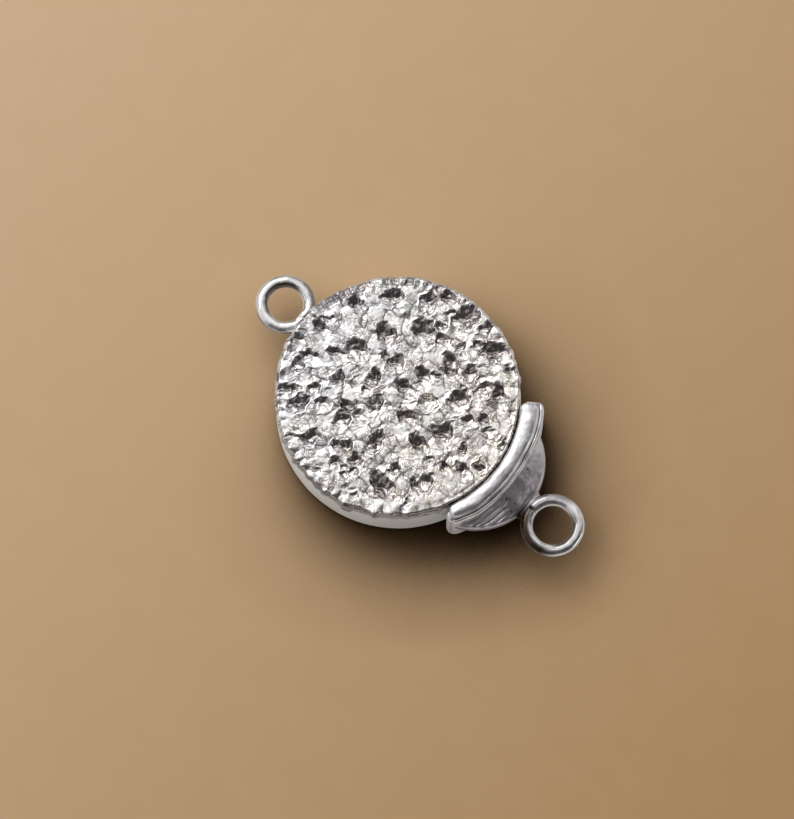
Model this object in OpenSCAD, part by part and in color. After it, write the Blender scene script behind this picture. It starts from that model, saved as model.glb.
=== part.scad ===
// Round box clasp: a hollow round box with a pitted face plate, and a catch whose folded tongue
// pushes into the side of the box. Millimetres. +X runs from the box ring to the catch ring,
// +Z points up out of the face, and the origin is the centre of the flat back.

/* [Box] */
// Outer diameter of the box
box_d = 15; // [14:0.5:18]
// Height of the side wall, up to the face plate
wall_h = 3.1; // [3:0.1:3.6]
// Thickness of the side wall
wall_t = 0.5; // [0.4:0.05:0.7]
// Thickness of the back
back_t = 0.4; // [0.4:0.05:0.5]
// Radius of the rounded edge around the back
back_round = 0.35; // [0.2:0.05:0.35]

/* [Face plate] */
// Thickness of the pitted plate
plate_t = 0.9; // [0.8:0.05:1.2]
// Width and height of the bevel around the plate's upper edge
plate_bevel = 0.15; // [0.1:0.05:0.25]
// Depth of a dent as a share of its radius
dent_share = 0.5; // [0.2:0.05:0.5]
// Turn of the dents' chart from the ring axis
chart_turn = 40; // [0:5:90]

/* [Rings] */
// Outside diameter of the ring on the box
box_ring_d = 3.75; // [3.4:0.05:4.2]
// Outside diameter of the ring on the catch
catch_ring_d = 3.9; // [3.6:0.05:4.4]
// Diameter of the ring wire
wire_d = 0.76; // [0.6:0.02:0.9]
// Height of the ring wire's middle
ring_z = 2.3; // [1.8:0.1:2.5]
// Width of both rings' middles off the clasp's axis
ring_y = 0.2; // [0:0.05:0.4]

/* [Catch] */
// Clearance between the box wall and the end cap
cap_gap = 0.1; // [0.08:0.01:0.15]
// Thickness of the end cap
cap_t = 1.2; // [1.1:0.05:1.4]
// Height of the end cap's shoulder, where the ridge begins
cap_h = 3.5; // [3.4:0.1:3.8]
// Angle of the end cap's middle from the clasp's axis
cap_turn = 5.5; // [0:0.5:10]
// Angle from the end cap's middle to each of its ends
cap_half = 28.5; // [24:0.5:32]
// Width of the half-round ridge on the end cap
ridge_w = 1; // [0.8:0.05:1]
// Radius of the half-moon shoulder, seen from above
moon_r = 4.3; // [4:0.1:4.5]
// Distance of the half-moon's middle from the box's middle
moon_x = 6; // [5.8:0.1:6.2]

/* [Tongue] */
// Width of the folded tongue
tongue_w = 5.6; // [4.5:0.1:6]
// Height of the folded tongue
tongue_h = 1.6; // [1.4:0.1:1.7]
// Thickness of the tongue's strip
strip_t = 0.35; // [0.25:0.05:0.4]
// Distance that the tongue's fold reaches past the box's middle
tongue_reach = 3.4; // [2:0.1:4]

/* [Hidden] */
$fn = 96;

box_r = box_d / 2;
cavity_r = box_r - wall_t;
wire_r = wire_d / 2;
// The bore of a ring has a narrow flat land, a little wider than the round wire leaves open
land_cut = 0.03;
// The solder that joins a ring to its seat, and how deep it reaches into the seat
solder_r = 0.42;
solder_l = 0.8;
solder_sunk = 0.25;
// How far a ring's wire reaches into its seat
ring_sunk = 0.15;

// Middle of the tongue, halfway up the hollow of the box
tongue_z = (back_t + wall_h) / 2;
slot_side = 0.2;
slot_w = tongue_w + 2 * slot_side;
slot_h = tongue_h + 0.3;
fold_r = tongue_h / 2;

cap_in = box_r + cap_gap;
cap_out = cap_in + cap_t;
cap_mid = (cap_in + cap_out) / 2;
cap_foot = 0.1;
// The ridge stands a hair outside the cap's inner wall, so that the two never run tangent
ridge_r = ridge_w / 2;
ridge_step = 0.02;
ridge_mid = cap_in + ridge_r + ridge_step;
// Depth to which the ridge runs down inside the cap
ridge_sunk = 0.2;
// Tilt of the balls that round the ridge's ends
ball_tilt = 60;
// Depth of the pocket in the end cap that takes the tongue's lower leaf
pocket = 0.6;
pocket_gap = 0.03;
// The leaves' ends: the lower one fills the pocket and the upper one stops inside the wall
root_x = cap_in + pocket;
spring_x = cavity_r - 0.5;

// The half-moon is a flat-bottomed dome: a ball cut by an upright cylinder
moon_foot = 0.9;
moon_rim = 2;
moon_root = 3.35;
moon_root_d = cap_out - moon_x;
moon_rise = moon_root - moon_rim;
moon_half_sum = (moon_r * moon_r - moon_root_d * moon_root_d) / moon_rise / 2;
moon_ball_z = moon_root - moon_half_sum - moon_rise / 2;
moon_ball_r = sqrt(pow(moon_root - moon_ball_z, 2) + pow(moon_root_d, 2));

box_ring_x = ring_sunk - box_r - box_ring_d / 2;
catch_ring_x = moon_x + moon_r - ring_sunk + catch_ring_d / 2;

// Dents of the face, charted from above with the box ring at the upper left
// [right of the middle, up from the middle, radius]
DENTS = [
    [-0.3, 6.2, 0.6],
    [-2.6, 5.9, 0.6],
    [2.3, 6.0, 0.7],
    [4.3, 5.0, 0.7],
    [-4.8, 4.4, 0.6],
    [-0.7, 4.0, 0.8],
    [1.6, 4.1, 0.7],
    [5.7, 2.9, 0.8],
    [3.4, 2.5, 0.7],
    [-2.5, 2.9, 0.8],
    [-5.6, 2.2, 0.7],
    [0.2, 2.2, 0.5],
    [1.8, 1.3, 0.6],
    [-1.4, 1.1, 0.6],
    [-3.7, 1.2, 0.6],
    [5.5, 0.6, 0.7],
    [3.6, -0.4, 0.7],
    [1.8, -0.6, 0.7],
    [-1.3, -0.6, 0.6],
    [-3.2, -0.9, 0.7],
    [-5.8, -0.3, 0.7],
    [0.3, -1.4, 0.5],
    [3.0, -2.1, 0.7],
    [-5.0, -2.6, 0.6],
    [-1.2, -2.8, 0.7],
    [1.1, -3.1, 0.7],
    [5.8, -2.6, 0.6],
    [-3.1, -3.4, 0.6],
    [3.1, -4.3, 0.5],
    [4.8, -4.5, 0.3],
    [-0.9, -5.3, 0.8],
    [1.4, -5.4, 0.7],
    [-3.2, -5.4, 0.7],
    [-5.2, -4.5, 0.4]
];

// A soldered wire ring, lying flat, with its bore upright
module wire_ring(outer_d) {
    middle_r = outer_d / 2 - wire_r;
    bore_r = middle_r - wire_r + land_cut;
    difference() {
        rotate_extrude() translate([middle_r, 0]) circle(r = wire_r);
        cylinder(r = bore_r, h = wire_d * 2, center = true);
    }
}

// The solder between a ring and its seat: a short round bar along +X from x
module solder(x) {
    translate([x, ring_y, ring_z]) rotate([0, 90, 0]) cylinder(r = solder_r, h = solder_l);
}

// Opening through the side wall for the tongue
module slot() {
    translate([0, -slot_w / 2, tongue_z - slot_h / 2]) cube([box_d, slot_w, slot_h]);
}

// Half of the back's cross-section, with its lower edge rounded, to be turned around Z
module back_section() {
    corner = box_r - back_round;
    square([corner, back_t]);
    translate([corner, 0]) intersection() {
        translate([0, back_round]) circle(r = back_round);
        square(back_round);
    }
    translate([corner, back_round]) square([back_round, back_t - back_round]);
}

module back() {
    color([0.8, 0.8, 0.79]) rotate_extrude() back_section();
}

module side_wall() {
    color([0.82, 0.82, 0.81]) difference() {
        translate([0, 0, back_t]) cylinder(r = box_r, h = wall_h - back_t);
        cylinder(r = cavity_r, h = 2 * wall_h);
        slot();
    }
}

// The ring on the box with its solder, which meets the wall face to face
module box_ring() {
    color([0.84, 0.84, 0.83]) difference() {
        union() {
            translate([box_ring_x, ring_y, ring_z]) wire_ring(box_ring_d);
            solder(solder_sunk - box_r - solder_l);
        }
        cylinder(r = box_r, h = 2 * wall_h);
    }
}

// One dent, cut by a ball whose edge meets the plate's top in a circle of radius r
module dent(r) {
    depth = r * dent_share;
    ball_r = (r * r + depth * depth) / depth / 2;
    translate([0, 0, ball_r - depth]) sphere(r = ball_r);
}

module face_plate() {
    rim = plate_t - plate_bevel;
    color([0.9, 0.9, 0.89]) translate([0, 0, wall_h]) difference() {
        union() {
            cylinder(r = box_r, h = rim);
            translate([0, 0, rim]) cylinder(r1 = box_r, r2 = box_r - plate_bevel, h = plate_bevel);
        }
        rotate([0, 0, chart_turn]) for (d = DENTS) translate([d[0], d[1], plate_t]) dent(d[2]);
    }
}

// Plan of the end cap: an arc of a ring with round ends
module cap_plan() {
    far = 2 * cap_out;
    intersection() {
        difference() {
            circle(r = cap_out);
            circle(r = cap_in);
        }
        rotate(cap_turn) polygon([
            [0, 0],
            [far * cos(cap_half), -far * sin(cap_half)],
            [far * cos(cap_half), far * sin(cap_half)]
        ]);
    }
    for (end = [-1, 1]) rotate(cap_turn + end * cap_half) translate([cap_mid, 0]) circle(d = cap_t);
}

// Half-round ridge along the top of the end cap
module cap_ridge() {
    translate([0, 0, cap_h]) {
        rotate([0, 0, cap_turn - cap_half]) rotate_extrude(angle = 2 * cap_half) {
            translate([ridge_mid, 0]) intersection() {
                circle(r = ridge_r);
                translate([-ridge_r, -ridge_sunk]) square([ridge_w, ridge_w]);
            }
        }
        for (end = [-1, 1]) rotate([0, 0, cap_turn + end * cap_half]) {
            translate([ridge_mid, 0, 0]) rotate([end * ball_tilt, 0, 0]) {
                sphere(r = ridge_r - ridge_step);
            }
        }
    }
}

// Half-moon shoulder that falls from the end cap to the catch ring
module half_moon() {
    difference() {
        intersection() {
            translate([moon_x, ring_y, moon_foot]) cylinder(r = moon_r, h = cap_h);
            translate([moon_x, ring_y, moon_ball_z]) sphere(r = moon_ball_r);
        }
        cylinder(r = cap_mid, h = 2 * cap_h);
    }
}

module catch_cap() {
    color([0.72, 0.72, 0.74]) difference() {
        union() {
            translate([0, 0, cap_foot]) linear_extrude(cap_h - cap_foot) cap_plan();
            cap_ridge();
            half_moon();
            translate([catch_ring_x, ring_y, ring_z]) wire_ring(catch_ring_d);
            solder(moon_x + moon_r - solder_sunk * 2);
        }
        translate([0, -tongue_w / 2 - pocket_gap, tongue_z - tongue_h / 2 - pocket_gap]) {
            cube([root_x, tongue_w + 2 * pocket_gap, strip_t + 2 * pocket_gap]);
        }
    }
}

// Side outline of the folded strip, fold at the left: two flat leaves joined by a half round
module tongue_side() {
    fold_x = fold_r - tongue_reach;
    translate([fold_x, -fold_r]) square([root_x - fold_x, strip_t]);
    translate([fold_x, fold_r - strip_t]) square([spring_x - fold_x, strip_t]);
    translate([fold_x, 0]) difference() {
        circle(r = fold_r);
        circle(r = fold_r - strip_t);
        translate([0, -fold_r]) square(2 * fold_r);
    }
}

module tongue() {
    color([0.66, 0.66, 0.68]) translate([0, tongue_w / 2, tongue_z]) rotate([90, 0, 0]) {
        linear_extrude(tongue_w) tongue_side();
    }
}

back();
side_wall();
box_ring();
face_plate();
catch_cap();
tongue();
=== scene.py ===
"""Round box clasp in bright silver, fastened and lying on its back.

A hollow round box carries a thick plate with a deeply pitted face and a ring of wire. The catch is a
curved end cap with a half-round ridge, a half-moon shoulder, a second ring and a folded tongue inside
the box. Sizes are in millimetres: +X runs from the box ring to the catch ring, +Z out of the face.
"""

import logging
import math
from dataclasses import dataclass, field
from enum import Enum

import bmesh
import bpy
import numpy as np
from mathutils import Matrix, Vector


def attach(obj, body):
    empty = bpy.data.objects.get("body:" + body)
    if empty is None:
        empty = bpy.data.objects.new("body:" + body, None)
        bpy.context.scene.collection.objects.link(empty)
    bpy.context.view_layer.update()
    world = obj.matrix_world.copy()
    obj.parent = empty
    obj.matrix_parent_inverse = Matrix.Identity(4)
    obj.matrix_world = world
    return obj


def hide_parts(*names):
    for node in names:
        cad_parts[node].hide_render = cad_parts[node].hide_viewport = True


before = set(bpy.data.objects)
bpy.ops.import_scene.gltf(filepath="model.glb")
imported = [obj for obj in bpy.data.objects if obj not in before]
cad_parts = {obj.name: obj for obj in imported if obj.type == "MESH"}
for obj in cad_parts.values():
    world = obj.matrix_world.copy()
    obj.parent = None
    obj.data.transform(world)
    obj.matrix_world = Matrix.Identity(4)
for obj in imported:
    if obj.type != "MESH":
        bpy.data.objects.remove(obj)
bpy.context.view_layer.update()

LOG = logging.getLogger("clasp")
MM = 0.001
CHART_TURN = math.radians(40.3)
UPWARDS = Vector((0, 0, 1))
SOLDER_GRAIN = 0.045

Array = np.ndarray
Colour = tuple[float, float, float]


class Body(Enum):
    """The two bodies that slide apart."""

    BOX = "box"
    CATCH = "catch"


class Slot(Enum):
    """The record's material slots."""

    CASE = "case_silver"
    RING = "ring_silver"
    FACE = "face_silver"
    CATCH = "catch_silver"
    TONGUE = "tongue_silver"


def ramp(low: float, high: float, x: Array) -> Array:
    """Smooth rise from 0 at low to 1 at high.

    Args:
        low: where the rise starts.
        high: where it ends; it may lie below low for a fall.
        x: the values to look up.

    Returns:
        Values from 0 to 1.
    """
    t = np.clip((x - low) / (high - low), 0.0, 1.0)
    return t * t * (3.0 - 2.0 * t)


def on_arc(theta: Array, rise: tuple[float, float], fall: tuple[float, float]) -> Array:
    """1 on a stretch of a circle, coming in over the degrees of rise and going over those of fall."""
    degrees = np.degrees(theta)
    return ramp(*rise, degrees) * ramp(*fall, degrees)


def chart_to_row(right: Array, up: Array) -> tuple[Array, Array]:
    """Turns the face chart's right and up into the row's x and y."""
    c, s = math.cos(CHART_TURN), math.sin(CHART_TURN)
    return right * c - up * s, right * s + up * c


def row_to_chart(x: Array, y: Array) -> tuple[Array, Array]:
    """Turns the row's x and y into the face chart's right and up."""
    c, s = math.cos(CHART_TURN), math.sin(CHART_TURN)
    return x * c + y * s, y * c - x * s


def heading(right: float, up: float) -> Vector:
    """Level direction, one unit long, from shares of the picture's right and up."""
    return Vector((*chart_to_row(right, up), 0.0)).normalized()


@dataclass
class Grain:
    """Seeded smooth noise over a plane, about -1 to 1, with cells one unit wide."""

    seed: int
    order: Array = field(init=False)
    spokes: Array = field(init=False)

    def __post_init__(self) -> None:
        """Draws the table of slopes."""
        rng = np.random.default_rng(self.seed)
        self.order = rng.permutation(256)
        angle = rng.uniform(0.0, 2.0 * math.pi, 256)
        self.spokes = np.stack([np.cos(angle), np.sin(angle)], axis=1)

    def _hash(self, i: Array, j: Array) -> Array:
        """Table place of the lattice point i, j."""
        return self.order[(self.order[i & 255] + j) & 255]

    def at(self, x: Array, y: Array) -> Array:
        """Noise at the points x, y."""
        i, j = np.floor(x).astype(int), np.floor(y).astype(int)
        fx, fy = x - i, y - j
        u = fx * fx * fx * (fx * (fx * 6 - 15) + 10)
        v = fy * fy * fy * (fy * (fy * 6 - 15) + 10)

        def corner(a: int, b: int) -> Array:
            """Slope term of one corner of the cell."""
            spoke = self.spokes[self._hash(i + a, j + b)]
            return spoke[..., 0] * (fx - a) + spoke[..., 1] * (fy - b)

        low = corner(0, 0) * (1 - u) + corner(1, 0) * u
        high = corner(0, 1) * (1 - u) + corner(1, 1) * u
        return 1.5 * (low * (1 - v) + high * v)

    def layers(self, x: Array, y: Array, *layers: tuple[float, float]) -> Array:
        """Sum of noises, each given by its height and the size of its cells."""
        return sum(height * self.at(x / size, y / size) for height, size in layers)

    def facets(self, x: Array, y: Array, cell: float, tilt: float, crown: float) -> tuple[Array, Array]:
        """Crowded humps that lean different ways, with sharp creases between them.

        Args:
            x: first coordinate.
            y: second coordinate.
            cell: spacing of the humps in the same unit.
            tilt: slope of a hump's lean.
            crown: how round a hump is.

        Returns:
            Height and distance from the nearest crease, both in the same unit.
        """
        u, v = x / cell, y / cell
        i, j = np.floor(u).astype(int), np.floor(v).astype(int)
        best = np.stack([np.full(u.shape, -9.0), np.zeros(u.shape), np.zeros(u.shape)])
        second = best
        for a in (-1, 0, 1):
            for b in (-1, 0, 1):
                spot = self._hash(i + a, j + b)
                lean = tilt * self.spokes[self._hash(i + a + 57, j + b)]
                du = u - (i + a + 0.5 + 0.4 * self.spokes[spot, 0])
                dv = v - (j + b + 0.5 + 0.4 * self.spokes[spot, 1])
                top = 0.25 * spot / 255.0 + du * lean[..., 0] + dv * lean[..., 1] - crown * (du * du + dv * dv)
                hump = np.stack([top, lean[..., 0] - 2.0 * crown * du, lean[..., 1] - 2.0 * crown * dv])
                second = np.where(top > best[0], best, np.where(top > second[0], hump, second))
                best = np.where(top > best[0], hump, best)
        steepness = np.hypot(best[1] - second[1], best[2] - second[2])
        return cell * best[0], cell * (best[0] - second[0]) / np.maximum(steepness, 0.1)

    def pillows(self, x: Array, y: Array, cell: float) -> Array:
        """Rounded lumps with sharp creases between them.

        Args:
            x: first coordinate.
            y: second coordinate.
            cell: size of a lump in the same unit.

        Returns:
            Height from 0 in the creases to about 1 on the lumps.
        """
        return np.sqrt(self.at(x / cell, y / cell) ** 2 + 0.0025)


@dataclass(frozen=True)
class Pit:
    """One charted pit: the middle and half sizes of its upper wall, which gets painted shade, and its depth."""

    right: float
    up: float
    half_w: float
    half_h: float
    depth: float


# right, up, half width, half height and depth, charted on the laid-flat face
PIT_CHART: tuple[Pit, ...] = tuple(
    Pit(*row)
    for row in (
        # upper left
        (-2.65, 6.1, 0.4, 0.35, 0.45), (-0.3, 6.5, 0.6, 0.25, 0.4), (-4.85, 4.65, 0.3, 0.4, 0.35),
        (-4.4, 5.05, 0.4, 0.1, 0.2), (-6.2, 3.8, 0.35, 0.25, 0.3), (-0.85, 4.3, 0.5, 0.4, 0.5),
        (-2.5, 3.3, 0.6, 0.35, 0.5), (-5.5, 2.75, 0.5, 0.22, 0.35), (-6.0, 2.3, 0.35, 0.3, 0.35),
        (-3.9, 2.9, 0.5, 0.2, 0.3), (-3.6, 1.4, 0.35, 0.3, 0.45), (-1.4, 1.5, 0.32, 0.32, 0.45),
        (-6.9, 0.7, 0.35, 0.2, 0.3), (-6.3, 0.6, 0.3, 0.18, 0.25), (-5.15, 0.7, 0.28, 0.2, 0.3),
        (-5.9, -0.1, 0.48, 0.3, 0.5), (-4.6, -0.2, 0.42, 0.2, 0.28), (-3.2, -0.35, 0.4, 0.3, 0.45),
        (-1.3, -0.15, 0.42, 0.3, 0.5), (-0.1, 2.4, 0.45, 0.25, 0.4), (0.2, 0.9, 0.4, 0.28, 0.4),
        (-0.9, 2.7, 0.2, 0.15, 0.25), (-2.1, 0.6, 0.18, 0.15, 0.22),
        # upper right
        (2.0, 6.35, 0.38, 0.35, 0.45), (3.0, 6.5, 0.38, 0.3, 0.4), (4.35, 5.4, 0.65, 0.5, 0.6),
        (3.3, 5.4, 0.22, 0.15, 0.25), (5.5, 4.6, 0.32, 0.35, 0.4), (1.5, 4.5, 0.6, 0.5, 0.55),
        (2.5, 4.65, 0.25, 0.15, 0.3), (2.6, 3.85, 0.38, 0.2, 0.35), (5.9, 3.1, 0.85, 0.3, 0.5),
        (5.6, 2.6, 0.25, 0.25, 0.35), (4.0, 3.3, 0.22, 0.2, 0.3), (4.9, 3.35, 0.22, 0.15, 0.25),
        (3.1, 2.5, 0.3, 0.35, 0.45), (3.1, 1.95, 0.28, 0.3, 0.45), (4.5, 1.75, 0.32, 0.32, 0.4),
        (1.5, 1.65, 0.36, 0.35, 0.4), (2.25, 1.45, 0.3, 0.12, 0.25), (6.75, 1.8, 0.3, 0.2, 0.3),
        (5.4, 0.75, 0.45, 0.25, 0.4), (6.1, 0.45, 0.35, 0.45, 0.5), (1.75, 0.0, 0.5, 0.25, 0.45),
        (3.8, 0.1, 0.55, 0.35, 0.5), (0.7, 0.6, 0.3, 0.2, 0.25),
        # lower left
        (-5.2, -2.3, 0.5, 0.25, 0.4), (-6.5, -2.4, 0.5, 0.15, 0.2), (-3.3, -1.1, 0.38, 0.32, 0.4),
        (-2.6, -0.8, 0.3, 0.28, 0.3), (-3.1, -2.95, 0.35, 0.22, 0.38), (-3.8, -2.85, 0.25, 0.2, 0.28),
        (-2.65, -3.7, 0.36, 0.25, 0.35), (-3.8, -3.9, 0.28, 0.2, 0.35), (-3.4, -4.2, 0.18, 0.18, 0.28),
        (-5.3, -4.55, 0.6, 0.15, 0.3), (-3.4, -4.75, 0.16, 0.13, 0.25), (-2.7, -4.5, 0.35, 0.15, 0.22),
        (-1.25, -2.5, 0.38, 0.4, 0.5), (-1.2, -5.1, 0.5, 0.6, 0.6), (-0.2, -4.35, 0.28, 0.25, 0.35),
        (-4.4, -5.6, 0.38, 0.2, 0.3), (-3.5, -6.15, 0.5, 0.2, 0.35), (-2.7, -6.2, 0.38, 0.25, 0.38),
        (-6.4, -3.45, 0.18, 0.12, 0.2),
        # lower right
        (0.4, -1.0, 0.5, 0.3, 0.42), (3.0, -1.85, 0.45, 0.35, 0.5), (1.1, -2.6, 0.45, 0.38, 0.5),
        (2.4, -2.2, 0.3, 0.35, 0.3), (4.3, -1.3, 0.32, 0.16, 0.28), (5.2, -1.3, 0.2, 0.28, 0.3),
        (5.5, -2.0, 0.35, 0.15, 0.28), (1.85, -3.75, 0.22, 0.16, 0.3), (2.8, -4.25, 0.22, 0.18, 0.32),
        (3.8, -4.3, 0.28, 0.28, 0.35), (4.95, -4.35, 0.22, 0.22, 0.5), (1.75, -5.05, 0.36, 0.28, 0.42),
        (0.95, -5.3, 0.22, 0.3, 0.35), (6.5, -2.95, 0.22, 0.18, 0.22), (4.0, -3.1, 0.18, 0.25, 0.28),
        (0.6, -6.5, 0.22, 0.25, 0.28),
    )
)


@dataclass(frozen=True)
class Calm:
    """A smooth stretch of the face: its middle and half sizes in the chart."""

    right: float
    up: float
    half_w: float
    half_h: float


CALM_CHART: tuple[Calm, ...] = tuple(
    Calm(*row)
    for row in (
        (-6.3, 1.35, 0.8, 0.5), (-5.4, -1.5, 1.3, 0.4), (-5.8, -3.7, 0.6, 0.5), (-5.2, 3.6, 0.8, 0.35),
        (-4.6, 5.5, 0.6, 0.35), (-4.2, 0.2, 0.4, 0.3), (-6.9, -0.2, 0.4, 0.4), (4.8, -2.9, 0.35, 0.6),
        (3.3, -5.1, 0.5, 0.5), (-3.6, 3.8, 0.25, 0.5), (-1.9, -6.7, 0.5, 0.3),
    )
)


@dataclass(frozen=True)
class Wrinkles:
    """A patch of parallel wrinkles: middle, half sizes, lean of the lines from up, spacing and height."""

    right: float
    up: float
    half_w: float
    half_h: float
    lean_deg: float
    spacing: float
    height: float


WRINKLE_CHART: tuple[Wrinkles, ...] = tuple(
    Wrinkles(*row)
    for row in (
        (-2.6, 4.9, 0.9, 0.8, 0, 0.27, 0.04), (1.2, 2.5, 0.8, 0.5, 8, 0.42, 0.07),
        (2.3, 2.3, 0.4, 0.7, -8, 0.22, 0.04), (2.6, 0.7, 0.6, 0.6, 35, 0.28, 0.05),
        (-2.5, 1.4, 0.5, 0.4, -50, 0.3, 0.05), (-0.4, 5.4, 0.6, 0.5, 50, 0.25, 0.03),
        (-4.6, 1.5, 0.6, 0.3, -60, 0.2, 0.03), (-0.3, 1.9, 0.5, 0.4, 55, 0.22, 0.035),
        (-2.7, -2.0, 0.6, 0.4, -80, 0.2, 0.035), (-1.5, -1.3, 0.5, 0.5, -40, 0.3, 0.05),
        (0.5, -6.0, 0.6, 0.6, 15, 0.3, 0.05), (6.2, -1.6, 0.7, 0.7, 40, 0.35, 0.05),
        (2.7, -3.2, 0.6, 0.4, 80, 0.22, 0.03), (0.7, -3.6, 0.6, 0.3, 85, 0.22, 0.03),
        (3.8, 4.0, 0.5, 0.5, 70, 0.25, 0.03), (5.3, 1.6, 0.5, 0.4, 85, 0.22, 0.03),
        (4.7, 0.0, 0.3, 0.7, 10, 0.2, 0.04), (1.8, -1.4, 0.4, 0.4, 35, 0.2, 0.035),
        (1.8, 5.5, 0.5, 0.4, 45, 0.25, 0.03),
    )
)


@dataclass(frozen=True)
class Rings:
    """A small crater of rings: its middle, its radius, how many rings it has and its hole's depth."""

    right: float
    up: float
    radius: float
    count: int
    hole: float = 0.0


RING_CHART: tuple[Rings, ...] = tuple(
    Rings(*row)
    for row in (
        (1.72, -0.4, 0.62, 3), (4.95, -4.45, 0.5, 2, 0.6), (-2.1, 2.5, 0.35, 2), (-4.9, -5.9, 0.4, 2),
        (3.9, 2.6, 0.4, 2),
    )
)


class Mould:
    """A bmesh in millimetres on its way to becoming a piece."""

    def __init__(self) -> None:
        """Starts with nothing in it."""
        self.bm = bmesh.new()

    def coords(self) -> Array:
        """Coordinates of all vertices, one row each."""
        self.bm.verts.ensure_lookup_table()
        return np.array([v.co for v in self.bm.verts], dtype=float).reshape(-1, 3)

    def set_coords(self, co: Array) -> None:
        """Moves every vertex to its row of co."""
        for vert, point in zip(self.bm.verts, co):
            vert.co = point

    def weld(self, distance: float = 1e-4) -> None:
        """Merges vertices that lie on one another."""
        bmesh.ops.remove_doubles(self.bm, verts=self.bm.verts[:], dist=distance)

    def face_out(self) -> None:
        """Turns all faces outwards."""
        bmesh.ops.recalc_face_normals(self.bm, faces=self.bm.faces[:])

    def open_edges(self) -> list[bmesh.types.BMEdge]:
        """Edges with one face only."""
        return [e for e in self.bm.edges if e.is_boundary]

    def polyline(self, points: list[Vector], closed: bool = False) -> list[bmesh.types.BMEdge]:
        """Adds a chain of edges.

        Args:
            points: the chain's points, in order.
            closed: whether the last point joins the first.

        Returns:
            The new edges.
        """
        verts = [self.bm.verts.new(p) for p in points]
        pairs = list(zip(verts, verts[1:]))
        if closed:
            pairs.append((verts[-1], verts[0]))
        return [self.bm.edges.new(pair) for pair in pairs]

    def extend(
        self, edges: list[bmesh.types.BMEdge]
    ) -> tuple[dict[bmesh.types.BMVert, bmesh.types.BMVert], list[bmesh.types.BMEdge]]:
        """Grows a strip of faces from a chain of edges.

        Args:
            edges: the chain.

        Returns:
            The vertex that each new vertex grew from, and the new chain.
        """
        grown = bmesh.ops.extrude_edge_only(self.bm, edges=edges)["geom"]
        new = [g for g in grown if isinstance(g, bmesh.types.BMVert)]
        fresh = set(new)
        grew_from = {v: next(e.other_vert(v) for e in v.link_edges if e.other_vert(v) not in fresh) for v in new}
        chain = [g for g in grown if isinstance(g, bmesh.types.BMEdge) and fresh.issuperset(g.verts)]
        return grew_from, chain

    def turn(self, edges: list[bmesh.types.BMEdge], steps: int, axis: Vector) -> None:
        """Spins a chain of edges once round an axis through the origin into a skin."""
        geom = list({v for e in edges for v in e.verts}) + edges
        bmesh.ops.spin(
            self.bm, geom=geom, cent=Vector(), axis=axis, angle=2.0 * math.pi, steps=steps, use_merge=True
        )
        self.weld()

    def fuse(self, voxel: float, relax: int) -> None:
        """Melts overlapping shapes into one skin, as solder does, and softens the joints.

        Args:
            voxel: grain of the new skin in millimetres.
            relax: number of smoothing passes.
        """
        mesh = bpy.data.meshes.new("melt")
        self.bm.to_mesh(mesh)
        holder = bpy.data.objects.new("melt", mesh)
        bpy.context.scene.collection.objects.link(holder)
        remesh = holder.modifiers.new("melt", "REMESH")
        remesh.mode = "VOXEL"
        remesh.voxel_size = voxel
        evaluated = holder.evaluated_get(bpy.context.evaluated_depsgraph_get())
        melted = bpy.data.meshes.new_from_object(evaluated)
        self.bm.clear()
        self.bm.from_mesh(melted)
        bpy.data.objects.remove(holder)
        bpy.data.meshes.remove(mesh)
        bpy.data.meshes.remove(melted)
        for _ in range(relax):
            bmesh.ops.smooth_vert(
                self.bm, verts=self.bm.verts[:], factor=0.5, use_axis_x=True, use_axis_y=True, use_axis_z=True
            )

    def piece(
        self,
        name: str,
        body: Body,
        material: bpy.types.Material,
        nodes: tuple[str, ...],
        sharp_deg: float = 40.0,
        tones: dict[str, Array] | None = None,
    ) -> bpy.types.Object:
        """Turns the mould into a finished piece that rides on its body.

        Args:
            name: the piece's name.
            body: the body that it moves with.
            material: its finish.
            nodes: the solids that it stands for.
            sharp_deg: edges that turn more than this stay crisp.
            tones: values per vertex, by name, that its finish reads.

        Returns:
            The object.
        """
        bmesh.ops.scale(self.bm, vec=(MM, MM, MM), verts=self.bm.verts[:])
        mesh = bpy.data.meshes.new(name)
        for face in self.bm.faces:
            face.smooth = True
        self.bm.to_mesh(mesh)
        self.bm.free()
        mesh.set_sharp_from_angle(angle=math.radians(sharp_deg))
        for key, values in (tones or {}).items():
            layer = mesh.attributes.new(key, "FLOAT", "POINT")
            layer.data.foreach_set("value", values.astype(np.float32))
        mesh.materials.append(material)
        obj = bpy.data.objects.new(name, mesh)
        bpy.context.scene.collection.objects.link(obj)
        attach(obj, body.value)
        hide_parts(*nodes)
        LOG.info("%s: %d faces on %s", name, len(mesh.polygons), body.value)
        return obj


Feed = bpy.types.NodeSocket | float | tuple[float, ...] | list[float] | Vector


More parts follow.
